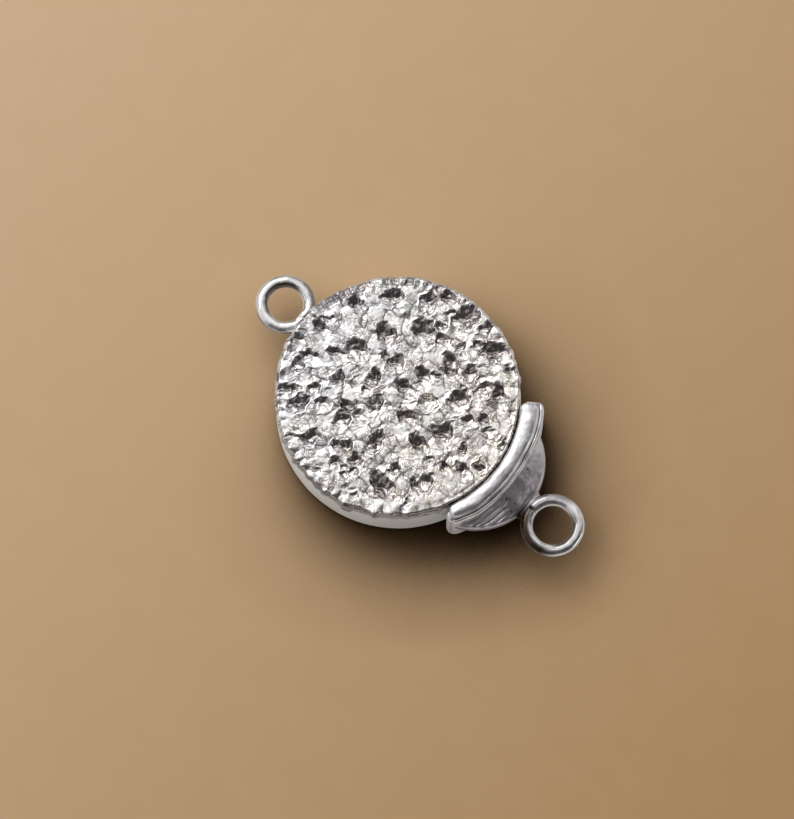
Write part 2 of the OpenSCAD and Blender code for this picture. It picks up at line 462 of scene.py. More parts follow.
class Weave:
    """The node tree of a material or a world, woven with short calls."""

    def __init__(self, owner: bpy.types.Material | bpy.types.World) -> None:
        """Takes the owner's tree."""
        owner.use_nodes = True
        self.tree = owner.node_tree

    def feed(self, node: bpy.types.Node, inputs: dict[str | int, Feed]) -> None:
        """Gives a node's inputs their values or another node's outputs."""
        for key, value in inputs.items():
            if isinstance(value, bpy.types.NodeSocket):
                self.tree.links.new(value, node.inputs[key])
            else:
                node.inputs[key].default_value = value

    def add(self, kind: str, inputs: dict[str | int, Feed], **settings: str | bool | int) -> bpy.types.Node:
        """Adds a node.

        Args:
            kind: its type, after "ShaderNode".
            inputs: what goes into it.
            settings: its own properties.

        Returns:
            The node.
        """
        node = self.tree.nodes.new("ShaderNode" + kind)
        for key, value in settings.items():
            setattr(node, key, value)
        self.feed(node, inputs)
        return node

    def sum_of(self, operation: str, *terms: Feed, **settings: bool) -> bpy.types.NodeSocket:
        """Result of one sum."""
        return self.add("Math", dict(enumerate(terms)), operation=operation, **settings).outputs["Value"]

    def towards(self, source: Feed, direction: Vector) -> bpy.types.NodeSocket:
        """How far a direction or place lies along another."""
        return self.add("VectorMath", {0: source, 1: direction}, operation="DOT_PRODUCT").outputs["Value"]

    def spread(self, source: Feed, low: float, high: float, out: tuple[float, float]) -> bpy.types.NodeSocket:
        """Range of a value from low to high, stretched to out."""
        limits = {"Value": source, "From Min": low, "From Max": high, "To Min": out[0], "To Max": out[1]}
        return self.add("MapRange", limits).outputs["Result"]

    def blend(self, share: Feed, first: Feed, last: Feed, way: str = "MIX") -> bpy.types.NodeSocket:
        """Mix of two colours."""
        sides = {"Factor": share, "A": first, "B": last}
        return self.add("Mix", sides, data_type="RGBA", blend_type=way).outputs["Result"]

    def noise(self, place: Feed, size: float, detail: float, rough: float = 0.5) -> bpy.types.Node:
        """Noise with spots of that size."""
        return self.add("TexNoise", {"Vector": place, "Scale": 1.0 / size, "Detail": detail, "Roughness": rough})

    def tone(self, name: str) -> bpy.types.NodeSocket:
        """The piece's own value per vertex."""
        return self.add("Attribute", {}, attribute_name=name).outputs["Fac"]


@dataclass(frozen=True)
class Etching:
    """Crumple lines and stepped contours in patches of a bright skin, darkened as painted crease shade; lengths are
    in millimetres.
    """

    depth: float = 0.012
    cell: float = 0.5
    contour: float = 1.1
    contours: float = 8.5
    sway: float = 0.9
    sway_size: float = 0.6
    patch: float = 1.3
    darkness: float = 0.8

    def lines(self, weave: Weave, place: bpy.types.NodeSocket) -> bpy.types.NodeSocket:
        """Weaves the pattern of lines.

        Args:
            weave: the finish's tree.
            place: coordinates in millimetres.

        Returns:
            A value near 1 on a line and 0 off it, fading where the skin already has painted shade or wear.
        """
        sway = weave.noise(place, self.sway_size, 1.0).outputs["Color"]
        terms = {0: sway, 1: (self.sway,) * 3, 2: place}
        swayed = weave.add("VectorMath", terms, operation="MULTIPLY_ADD").outputs["Vector"]
        cells = {"Vector": swayed, "Scale": 1.0 / self.cell}
        crumple = weave.add("TexVoronoi", cells, feature="DISTANCE_TO_EDGE").outputs["Distance"]
        crease = weave.spread(crumple, 0.02, 0.1, (0.8, 0.0))
        level = weave.noise(swayed, self.contour, 0.0).outputs["Fac"]
        steps = weave.sum_of("PINGPONG", weave.sum_of("MULTIPLY", level, self.contours), 0.5)
        contour = weave.spread(steps, 0.0, 0.14, (0.85, 0.0))
        patch = weave.noise(place, self.patch, 1.0).outputs["Fac"]
        shown = weave.spread(patch, 0.42, 0.58, (0.15, 1.0))
        clear = weave.spread(weave.tone("painted_shade_and_wear"), 0.2, 0.6, (1.0, 0.2))
        both = weave.sum_of("MAXIMUM", crease, contour)
        return weave.sum_of("MULTIPLY", weave.sum_of("MULTIPLY", both, shown), clear)


@dataclass(frozen=True)
class SilverFinish:
    """Worked silver: colour, stain, painted shade and wear in the hollows, gloss and the marks on its skin.

    Lengths are in millimetres. stretch shortens the marks along an axis by its number, painted_shade_and_wear_share
    is how dark the piece's own "painted_shade_and_wear" values make it, and warm is the colour of its "warmth".
    """

    name: str
    tint: Colour
    stain_and_shade: Colour
    stain_share: float
    gloss: tuple[float, float]
    mark: float
    mark_depth: float
    stretch: Colour = (1.0, 1.0, 1.0)
    painted_shade_and_wear_share: float = 0.0
    etching: Etching | None = None
    warm: Colour | None = None

    def build(self) -> bpy.types.Material:
        """Makes the material.

        Returns:
            A metal shader whose colour, roughness and bump follow seeded patterns on the piece.
        """
        material = bpy.data.materials.new(self.name)
        weave = Weave(material)
        place = weave.add("TexCoord", {}).outputs["Object"]
        scale = [s / MM for s in self.stretch]
        place = weave.add("Mapping", {"Vector": place, "Scale": scale}).outputs["Vector"]

        cloud = weave.noise(place, self.mark * 6.0, 3.0, 0.55).outputs["Fac"]
        dark = weave.spread(cloud, 0.45, 0.75, (0.0, self.stain_share))
        # painted shade and real wear from the piece's own values, drawn in the stain_and_shade colour
        if self.painted_shade_and_wear_share > 0.0:
            deep = weave.spread(weave.tone("painted_shade_and_wear"), 0.0, 1.0, (0.0, self.painted_shade_and_wear_share))
            dark = weave.sum_of("ADD", dark, deep)
        smear = weave.noise(place, self.mark * 3.0, 4.0, 0.6).outputs["Fac"]
        fine = weave.noise(place, self.mark, 3.0).outputs["Fac"]
        bump = weave.add("Bump", {"Strength": 1.0, "Distance": self.mark_depth * MM, "Height": fine})
        if self.etching is not None:
            # the etched lines darken the colour as painted crease shade
            lines = self.etching.lines(weave, place)
            dark = weave.sum_of("ADD", dark, weave.sum_of("MULTIPLY", lines, self.etching.darkness))
            cut = {"Strength": 1.0, "Distance": self.etching.depth * MM, "Height": lines}
            weave.feed(bump, {"Normal": weave.add("Bump", cut, invert=True).outputs["Normal"]})

        clean: Feed = (*self.tint, 1.0)
        if self.warm is not None:
            tinge = weave.blend(weave.tone("warmth"), clean, (*self.warm, 1.0))
            clean = weave.blend(0.6, tinge, weave.noise(place, 0.7, 1.0).outputs["Color"], "SOFT_LIGHT")
        skin = {
            "Metallic": 1.0,
            "Base Color": weave.blend(weave.sum_of("MINIMUM", dark, 1.0), clean, (*self.stain_and_shade, 1.0)),
            "Roughness": weave.spread(smear, 0.35, 0.7, self.gloss),
            "Normal": bump.outputs["Normal"],
        }
        weave.feed(weave.tree.nodes["Principled BSDF"], skin)
        return material


@dataclass
class PittedFace:
    """The thick plate with the pitted face that closes the box."""

    radius: float = 7.5
    foot: float = 3.1
    level: float = 3.86
    crest: float = 4.05
    segments: int = 292
    ripple: float = 0.24
    relief: float = 0.34
    pit_share: float = 0.85
    side_drops: tuple[float, ...] = (0.1, 0.25, 0.42, 0.6, 0.78, 0.92, 1.0)
    finish: SilverFinish = SilverFinish(
        "pitted_silver",
        tint=(0.93, 0.92, 0.93),
        stain_and_shade=(0.18, 0.15, 0.15),
        stain_share=0.08,
        gloss=(0.12, 0.24),
        mark=0.15,
        mark_depth=0.008,
        painted_shade_and_wear_share=0.95,
        etching=Etching(),
        warm=(0.95, 0.9, 0.825),
    )

    def outline(self, theta: Array) -> Array:
        """Radius of the plate's edge at each angle of the chart."""
        grain = Grain(11)
        x, y = np.cos(theta), np.sin(theta)
        by_cap = on_arc(theta, (-72.0, -62.0), (12.0, -2.0))
        lower = 0.3 + 0.7 * on_arc(theta, (-60.0, -75.0), (-180.0, -160.0))
        scallop = grain.pillows(x * self.radius, y * self.radius, 0.95) + 0.4 * grain.pillows(x * 25.0, y * 25.0, 1.6)
        wave = 0.05 * grain.at(x * 7.0, y * 7.0) + 0.035 * grain.at(x * 20.0, y * 20.0)
        wave += 0.26 * lower * (scallop - 0.45)
        degrees = np.degrees(theta)
        swell = 0.16 * np.exp(-(((degrees - 142.0) / 20.0) ** 2)) + 0.06 * np.exp(-(((degrees - 80.0) / 25.0) ** 2))
        return self.radius + wave * (1.0 - 0.85 * by_cap) - 0.1 * by_cap + swell

    def underside(self, theta: Array) -> Array:
        """1 where the plate's side faces the picture's bottom and gets painted shade, 0 elsewhere."""
        return on_arc(theta, (-50.0, -65.0), (-172.0, -140.0))

    def height(self, right: Array, up: Array) -> tuple[Array, Array]:
        """Height of the face over its chart.

        Args:
            right: chart coordinate of each point.
            up: the other chart coordinate.

        Returns:
            The height above the back, and how dark each point is painted, from 0 to 1: painted shade on the pits'
            steep walls, in the crater's hole and along the creases, and a slight darkening of the calm stretches.
        """
        folds = Grain(6)
        x = right + Grain(3).layers(right, up, (0.1, 0.6), (0.035, 0.22))
        y = up + Grain(4).layers(right, up, (0.1, 0.6), (0.035, 0.22))

        busy = np.ones_like(x)
        for calm in CALM_CHART:
            reach = ((x - calm.right) / calm.half_w) ** 2 + ((y - calm.up) / calm.half_h) ** 2
            busy = np.minimum(busy, 0.2 + 0.8 * ramp(0.4, 1.6, reach))

        near = np.full_like(x, 9.0)
        carve, dark = np.zeros_like(x), np.zeros_like(x)
        px = x + folds.layers(right, up, (0.15, 0.4), (0.04, 0.17))
        py = y + 0.15 * folds.at(right / 0.4 + 7.0, up / 0.4) + 0.04 * folds.at(right / 0.17, up / 0.17 + 7.0)
        # the pits' steep upper walls get painted shade
        for pit in PIT_CHART:
            bowl, wall, apart = self.hollow(pit, px, py)
            carve, dark, near = np.maximum(carve, bowl), np.maximum(dark, wall), np.minimum(near, apart)

        coarse, coarse_gap = Grain(12).facets(x, y, 0.82, 0.42, 0.45)
        small, small_gap = Grain(13).facets(x, y, 0.4, 0.42, 0.5)
        pick = ramp(-0.2, 0.25, Grain(14).at(x / 1.1, y / 1.1))
        lumps = coarse * (0.65 + 0.35 * pick) + small * (0.65 - 0.4 * pick)
        rise = busy * (lumps + 0.12 * Grain(5).at(x / 1.2, y / 1.2) + 0.08 * Grain(7).pillows(x + 3.0, y, 0.55))
        share_near = ramp(-0.35, 0.1, Grain(9).at(x, y)) * busy
        stroke = np.sin(2.0 * math.pi * (near / self.ripple + 0.5 * folds.at(x / 0.7, y / 0.7 + 4.0)))
        rise += 0.013 * share_near * ramp(-0.1, 0.05, near) * stroke
        for patch in WRINKLE_CHART:
            share, wave = self.wrinkle(patch, x, y, folds)
            rise = rise * (1.0 - 0.7 * share) + share * wave

        ringed = np.zeros_like(x)
        for ring in RING_CHART:
            dx, dy = px - ring.right, py - ring.up
            r = np.hypot(dx, dy) / ring.radius
            cover = ramp(1.12, 1.0, r)
            turns = np.cos(2.0 * math.pi * ring.count * r)
            rise = rise * (1.0 - cover) + cover * (0.1 + 0.05 * turns + 0.1 * ramp(0.8, 1.0, r))
            carve = np.maximum(carve * (1.0 - cover * ramp(0.25, -0.05, dy / ring.radius)), 0.12 * ramp(1.0, 0.0, r))
            small_gap, coarse_gap = np.maximum(small_gap, cover), np.maximum(coarse_gap, cover)
            # painted shade in the troughs between the crater's rings
            ringed = np.maximum(ringed, 0.85 * ramp(1.05, 0.95, r) * ramp(0.12, 0.25, r) * ramp(-0.45, -0.9, turns))
            near = np.maximum(near, cover * 0.2)
            # painted shade in the crater's hole
            hole = ramp(0.55, 0.4, r) * (ring.hole > 0.0)
            carve = np.maximum(carve, ring.hole * hole)
            dark = np.maximum(dark * (1.0 - 0.7 * cover), 1.3 * hole)

        inside = ramp(0.05, -0.15, near)
        height = self.level - 0.06 + self.relief * rise * (1.0 - 0.7 * inside) - self.pit_share * carve
        height += 0.02 * np.exp(-(((near - 0.03) / 0.08) ** 2))
        # painted shade along the creases between humps and in the troughs of the strokes; calm stretches are darkened
        # slightly
        lines = np.maximum(ramp(0.085, 0.03, coarse_gap), (0.8 - 0.4 * pick) * ramp(0.06, 0.02, small_gap))
        lines = np.maximum(lines, 0.65 * share_near * ramp(-0.55, -0.9, stroke) * ramp(-0.1, 0.05, near))
        lines *= (0.25 + 0.75 * busy) * (1.0 - 0.75 * inside) * ramp(-0.3, 0.2, Grain(15).at(x / 0.8, y / 0.8))
        lines = np.maximum(np.maximum(lines, ringed), 0.3 * (1.0 - busy))
        return height, np.maximum(0.75 * dark, lines)

    def wrinkle(self, patch: Wrinkles, x: Array, y: Array, folds: Grain) -> tuple[Array, Array]:
        """Shape of one patch of wrinkles.

        Args:
            patch: its place, size and lean.
            x: chart coordinate of each point.
            y: the other chart coordinate.
            folds: what bends the lines.

        Returns:
            How much of the patch shows at each point, and its height.
        """
        lean = math.radians(patch.lean_deg)
        dx, dy = x - patch.right, y - patch.up
        across = dx * math.cos(lean) + dy * math.sin(lean)
        share = ramp(1.5, 0.4, (dx / patch.half_w) ** 2 + (dy / patch.half_h) ** 2)
        bend = 0.35 * folds.at(x / 0.5 + 9.0, y / 0.5)
        return share, patch.height * (0.5 + 0.5 * np.sin(2.0 * math.pi * (across / patch.spacing + bend)))

    def hollow(self, pit: Pit, x: Array, y: Array) -> tuple[Array, Array, Array]:
        """Shape of one pit: a steep upper wall and a floor that climbs back downwards.

        Args:
            pit: its place and size.
            x: chart coordinate of each point.
            y: the other chart coordinate.

        Returns:
            Depth below the face, 1 on the steep wall where shade is painted, and distance outside the pit's edge.
        """
        floor = 1.8 * pit.half_h + 0.35
        rx, ry = 1.2 * pit.half_w + 0.06, pit.half_h + floor / 2.0
        skew = 0.5 * math.sin(7.0 * pit.right + 11.0 * pit.up)
        u, v = (x - pit.right - skew * (y - pit.up)) / rx, (y - pit.up + floor / 2.0) / ry
        half = np.sqrt(np.clip(1.0 - u * u, 1e-6, None))
        down = np.clip((1.0 - v / half) / 2.0, 0.0, 1.0)
        turn = pit.half_h / ry
        wall = np.clip(down / turn, 0.0, 1.0)
        climb = np.clip((1.0 - down) / (1.0 - turn), 0.0, 1.0)
        bowl = pit.depth * np.where(down < turn, wall, climb**1.5) * half**1.2
        apart = (np.hypot(u, v) - 1.0) * (rx + ry) / 2.0
        steep = ramp(0.0, 0.12, down) * ramp(turn * 1.25, turn * 0.85, down) * ramp(1.0, 0.8, np.abs(u))
        return bowl, steep, apart

    def dress_rim(self, theta: Array, rho: Array, height: Array, painted_shade_and_wear: Array) -> tuple[Array, Array]:
        """Flutes the upper rim, lumps the lower one and smooths the one beside the end cap.

        Args:
            theta: angle of each point in the chart.
            rho: its share of the radius.
            height: its height above the back.
            painted_shade_and_wear: how much painted shade it has.

        Returns:
            The new height and darkness.
        """
        teeth = Grain(21)
        cx, cy = np.cos(theta) * self.radius, np.sin(theta) * self.radius
        flute, lobe = teeth.pillows(cx, cy, 0.4), Grain(11).pillows(cx, cy, 0.95)
        groove = flute + 0.5 * teeth.at(cx / 1.1, cy / 1.1)
        fluted = on_arc(theta, (50.0, 75.0), (150.0, 125.0))
        smooth = on_arc(theta, (-72.0, -62.0), (30.0, 5.0))
        rough = 1.0 - smooth
        drape = ramp(0.86, 0.94, rho) * on_arc(theta, (-55.0, -75.0), (-178.0, -140.0))
        shade = fluted * ramp(0.915, 0.945, rho) * ramp(-0.08, 0.12, teeth.at(cx / 0.5, cy / 0.5))
        band = ramp(0.9, 0.97, rho) * rough
        gaps = np.maximum(fluted * ramp(0.13, 0.05, flute), (1.0 - fluted) * ramp(0.12, 0.05, lobe))

        # painted shade in the flutes' hollows, at the edge on the side that faces the picture's bottom, and in the
        # gaps between lobes and flutes
        painted_shade_and_wear = np.maximum(painted_shade_and_wear * (1.0 - 0.7 * drape), 0.8 * shade)
        painted_shade_and_wear = np.maximum(painted_shade_and_wear, 0.85 * self.underside(theta) * ramp(0.972, 0.992, rho))
        painted_shade_and_wear = np.maximum(painted_shade_and_wear, 0.8 * band * gaps)
        height = height + 0.7 * drape * (self.level + 0.04 - height) - 0.16 * shade
        height += band * (0.2 * fluted * (groove - 0.3) + 0.3 * (1.0 - fluted) * (lobe - 0.35))
        height += 0.85 * smooth * ramp(0.965, 0.985, rho) * (self.level + 0.02 - height)
        height -= 0.2 * rough * ramp(0.97, 1.0, rho) ** 2 + 0.3 * smooth * ramp(0.985, 1.0, rho) ** 2
        return np.minimum(height, self.crest), painted_shade_and_wear

    def build(self) -> bpy.types.Object:
        """Makes the plate.

        Returns:
            The piece, closed all round.
        """
        mould = Mould()
        bmesh.ops.create_grid(mould.bm, x_segments=self.segments, y_segments=self.segments, size=1.0)
        co = mould.coords()
        a, b = co[:, 0], co[:, 1]
        wide = np.abs(a) >= np.abs(b)
        reach = np.where(wide, a, b)
        with np.errstate(divide="ignore", invalid="ignore"):
            turn = np.nan_to_num(np.where(wide, math.pi / 4 * b / a, math.pi / 2 - math.pi / 4 * a / b))
        right, up = reach * np.cos(turn), reach * np.sin(turn)
        rho, theta = np.hypot(right, up), np.arctan2(up, right)
        grow = self.radius + (self.outline(theta) - self.radius) * ramp(0.75, 1.0, rho)
        right, up = right * grow, up * grow
        height, dark = self.dress_rim(theta, rho, *self.height(right, up))
        mould.set_coords(np.stack([*chart_to_row(right, up), height], axis=1))

        painted_shade_and_wear = list(dark)
        sides, last = mould.open_edges(), 0.0
        lumps = Grain(22)
        for drop in self.side_drops:
            grew_from, sides = mould.extend(sides)
            bulge = 0.05 if last == 0.0 else -0.01
            for v, above in grew_from.items():
                out = Vector((v.co.x, v.co.y, 0)).normalized()
                wave = 0.04 * float(lumps.at(np.array(out.x * 14.0 + drop * 2.0), np.array(out.y * 14.0)))
                v.co = above.co + out * (bulge + wave)
                v.co.z = max(above.co.z - 0.75 * (drop - last), self.foot + 0.02 * (1.0 - drop))
                if drop == self.side_drops[-1]:
                    v.co.z = self.foot
            right, up = row_to_chart(*np.array([v.co.xy for v in grew_from]).T)
            # painted shade on the plate's side: darker lower down and where it faces the picture's bottom
            painted_shade_and_wear += list(0.3 + 0.4 * self.underside(np.arctan2(up, right)) + 0.2 * drop)
            last = drop
        bmesh.ops.holes_fill(mould.bm, edges=sides, sides=0)
        mould.face_out()
        co = mould.coords()
        right, up = row_to_chart(co[:, 0], co[:, 1])
        warmth = 0.45 + (right - 0.8 * up) / 16.0 + 0.5 * Grain(23).at(right / 1.3, up / 1.3)
        tones = {"painted_shade_and_wear": np.array(painted_shade_and_wear), "warmth": np.clip(warmth, 0.0, 1.0)}
        silver = self.finish.build()
        return mould.piece("face_plate_pitted", Body.BOX, silver, ("face_plate",), 180.0, tones)


@dataclass(frozen=True)
class PaintedShadeStretch:
    """A stretch of a ring darkened with painted shade.

    It runs half_deg either way from at_deg, an angle of the chart, and over the wire's section from
    start to full, where -1 is the hole's side and 1 is the outside.
    """

    at_deg: float
    half_deg: float
    start: float
    full: float
    strength: float


@dataclass
class WireRing:
    """A ring of hand-drawn round wire."""

    centre: Vector
    outer_d: float
    wire_d: float
    seed: int
    painted_shade_stretches: tuple[PaintedShadeStretch, ...]
    uneven: float
    segments: int = 144

    def tone(self, co: Array) -> Array:
        """How much painted shade the wire gets at each point, from 0 to 1."""
        right, up = row_to_chart(co[:, 0] - self.centre.x, co[:, 1] - self.centre.y)
        degrees = np.degrees(np.arctan2(up, right))
        outwards = (np.hypot(right, up) - (self.outer_d - self.wire_d) / 2) / (self.wire_d / 2)
        tone = np.zeros_like(right)
        for spot in self.painted_shade_stretches:
            apart = np.abs((degrees - spot.at_deg + 180.0) % 360.0 - 180.0)
            reach = ramp(spot.half_deg, 0.55 * spot.half_deg, apart)
            tone = np.maximum(tone, spot.strength * reach * ramp(spot.start, spot.full, outwards))
        return tone

    def add_to(self, mould: Mould) -> None:
        """Adds the ring's wire to a mould, uneven in its thickness."""
        wire_r = self.wire_d / 2
        middle_r = self.outer_d / 2 - wire_r
        stand = Matrix.Translation((middle_r, 0, 0)) @ Matrix.Rotation(math.pi / 2, 4, "X")
        before = set(mould.bm.verts)
        made = bmesh.ops.create_circle(mould.bm, cap_ends=False, radius=wire_r, segments=28, matrix=stand)
        edges = list({e for v in made["verts"] for e in v.link_edges})
        mould.turn(edges, self.segments, UPWARDS)
        ring = [v for v in mould.bm.verts if v not in before]
        grain = Grain(self.seed)
        for v in ring:
            angle = math.atan2(v.co.y, v.co.x)
            out = Vector((math.cos(angle), math.sin(angle), 0))
            beside = math.atan2(v.co.z, v.co.dot(out) - middle_r)
            at = (np.array(out.x * 1.6 + 5.0), np.array(out.y * 1.6 + beside * 0.25))
            fine = (np.array(out.x * 4.5), np.array(out.y * 4.5 + beside))
            swell = 1.0 + self.uneven * float(grain.at(*at)) + 0.35 * self.uneven * float(grain.at(*fine))
            middle = out * middle_r
            v.co = middle + (v.co - middle) * swell
        bmesh.ops.translate(mould.bm, vec=self.centre, verts=ring)


def spool(mould: Mould, start: Vector, end: Vector, radii: tuple[float, ...], flat: float = 1.0) -> None:
    """Adds a round bar with a changing radius, closed at both ends.

    Args:
        mould: where it goes.
        start: middle of its first end.
        end: middle of its last end.
        radii: radius at even steps from start to end.
        flat: height as a share of width.
    """
    along = end - start
    turn = along.to_track_quat("X", "Z").to_matrix().to_4x4()
    count = len(radii)
    points = [Vector((0, 0, 0))]
    points += [Vector((along.length * i / (count - 1), 0, r)) for i, r in enumerate(radii)]
    points += [Vector((along.length, 0, 0))]
    before = set(mould.bm.verts)
    edges = mould.polyline(points)
    mould.turn(edges, 24, Vector((1, 0, 0)))
    new = [v for v in mould.bm.verts if v not in before]
    bmesh.ops.scale(mould.bm, vec=(1, 1, flat), verts=new)
    bmesh.ops.transform(mould.bm, matrix=Matrix.Translation(start) @ turn, verts=new)


@dataclass
class RoundBox:
    """The hollow box: back and wall in one shell, the ring soldered to it and the pitted plate."""

    radius: float = 7.5
    wall: float = 0.5
    wall_top: float = 3.1
    back: float = 0.4
    back_round: float = 0.35
    slot_half_w: float = 3.0
    slot_low: float = 0.8
    slot_high: float = 2.7
    ring: WireRing = field(
        default_factory=lambda: WireRing(
            Vector((-9.225, 0.2, 2.3)),
            outer_d=3.72,
            wire_d=0.78,
            seed=51,
            # painted shade on stretches of the wire
            painted_shade_stretches=(
                PaintedShadeStretch(130.0, 115.0, -0.2, -0.6, 0.85),
                PaintedShadeStretch(15.0, 50.0, 0.0, 0.5, 0.8),
                PaintedShadeStretch(-120.0, 65.0, 0.75, 0.95, 0.9),
                PaintedShadeStretch(75.0, 60.0, 0.1, 0.6, 0.4),
                PaintedShadeStretch(-80.0, 75.0, -0.6, -0.9, 0.5),
            ),
            uneven=0.08,
        )
    )
    shell_finish: SilverFinish = SilverFinish(
        "polished_silver_shell",
        tint=(0.86, 0.85, 0.83),
        stain_and_shade=(0.55, 0.53, 0.48),
        stain_share=0.3,
        gloss=(0.12, 0.28),
        mark=0.35,
        mark_depth=0.006,
    )
    ring_finish: SilverFinish = SilverFinish(
        "polished_silver_wire",
        tint=(0.84, 0.82, 0.81),
        stain_and_shade=(0.12, 0.09, 0.07),
        stain_share=0.2,
        gloss=(0.08, 0.2),
        mark=0.22,
        mark_depth=0.006,
        painted_shade_and_wear_share=0.95,
    )

    def shell(self) -> bpy.types.Object:
        """Makes the back and the side wall with the entry slot.

        Returns:
            The piece.
        """
        mould = Mould()
        bm = mould.bm
        inner, corner, brim = self.radius - self.wall, self.radius - self.back_round, self.wall_top - 0.06
        hollow = self.back + 0.1
        rings, rows = (2.5, 4.5, 6.0), range(1, 12)
        points = [(0.0, 0.0)] + [(r, 0.0) for r in rings]
        for i in range(7):
            a = math.pi / 2 * i / 6
            points.append((corner + self.back_round * math.sin(a), self.back_round * (1 - math.cos(a))))
        points += [(self.radius, self.back_round + (brim - self.back_round) * i / 12) for i in rows]
        points += [(self.radius, brim), (self.radius - 0.05, self.wall_top), (inner + 0.05, self.wall_top)]
        points += [(inner, brim)] + [(inner, hollow + (brim - hollow) * i / 12) for i in reversed(rows)]
        points += [(inner, hollow), (inner - 0.1, self.back)] + [(r, self.back) for r in reversed(rings)]
        points += [(0.0, self.back)]
        edges = mould.polyline([Vector((r, 0, z)) for r, z in points])
        mould.turn(edges, 216, UPWARDS)
        mould.face_out()

        across = Vector((0, 1, 0))
        cuts = [(across * y, across) for y in (self.slot_half_w, -self.slot_half_w)]
        cuts += [(UPWARDS * z, UPWARDS) for z in (self.slot_low, self.slot_high)]
        for point, normal in cuts:
            near = [f for f in bm.faces if self._by_slot(f.calc_center_median(), 1.2, 0.35)]
            geom = near + list({e for f in near for e in f.edges}) + list({v for f in near for v in f.verts})
            bmesh.ops.bisect_plane(bm, geom=geom, dist=1e-5, plane_co=point, plane_no=normal)
        gone = [f for f in bm.faces if self._by_slot(f.calc_center_median(), 0.0, 0.0)]
        bmesh.ops.delete(bm, geom=gone, context="FACES")
        bmesh.ops.bridge_loops(bm, edges=mould.open_edges())
        mould.face_out()

        co = mould.coords()
        arc = np.arctan2(co[:, 1], co[:, 0]) * self.radius
        outside = ramp(7.3, 7.45, np.hypot(co[:, 0], co[:, 1])) * ramp(0.0, 0.4, co[:, 2])
        dent = 1.0 + outside * (0.012 * Grain(31).at(arc / 1.7, co[:, 2] / 1.4) - 0.006) / self.radius
        co[:, :2] *= dent[:, None]
        mould.set_coords(co)
        nodes = ("back", "side_wall")
        return mould.piece("case_shell", Body.BOX, self.shell_finish.build(), nodes, 35.0)

    def _by_slot(self, p: Vector, beside: float, above: float) -> bool:
        """True on the wall inside the slot's outline, widened by those two margins."""
        level = self.slot_low - above < p.z < self.slot_high + above
        on_wall = p.x > 0.0 and math.hypot(p.x, p.y) > self.radius - self.wall - 0.05
        return level and on_wall and abs(p.y) < self.slot_half_w + beside

    def loop(self) -> bpy.types.Object:
        """Makes the ring with the solder that runs from it to the wall."""
        mould = Mould()
        self.ring.add_to(mould)
        y, z = self.ring.centre.y, self.ring.centre.z
        seat, waist = Vector((-self.radius + 0.12, y, z)), Vector((-self.radius - 0.62, y, z))
        spool(mould, seat, waist, (0.95, 0.72, 0.58, 0.5, 0.5, 0.52), 0.72)
        seat, waist = Vector((-7.45, y - 0.35, z + 0.1)), Vector((-7.95, y - 0.7, z + 0.12))
        spool(mould, seat, waist, (0.4, 0.34, 0.22), 0.8)
        mould.fuse(SOLDER_GRAIN, 5)
        mould.face_out()
        tones = {"painted_shade_and_wear": self.ring.tone(mould.coords())}
        silver = self.ring_finish.build()
        return mould.piece("box_ring_soldered", Body.BOX, silver, ("box_ring",), tones=tones)

    def build(self) -> None:
        """Makes the box's pieces."""
        self.shell()
        self.loop()
        PittedFace().build()


# x, y and size of the nicks in the half-moon
MOON_NICKS: tuple[tuple[float, float, float], ...] = (
    (8.87, 1.71, 0.07), (9.07, -0.53, 0.09), (9.22, -0.4, 0.06), (8.95, -0.78, 0.06), (9.35, -1.05, 0.07),
    (9.62, -0.35, 0.06), (9.75, -0.85, 0.08), (9.1, 0.9, 0.045), (9.6, 1.4, 0.04), (9.15, -2.2, 0.05),
)
# distance from the box's middle, and height, of the ridges that drawing left on the half-moon
DRAWN_LINES: tuple[tuple[float, float], ...] = ((8.98, 0.03), (9.22, 0.05), (9.5, 0.07), (9.78, 0.045), (10.0, 0.03))


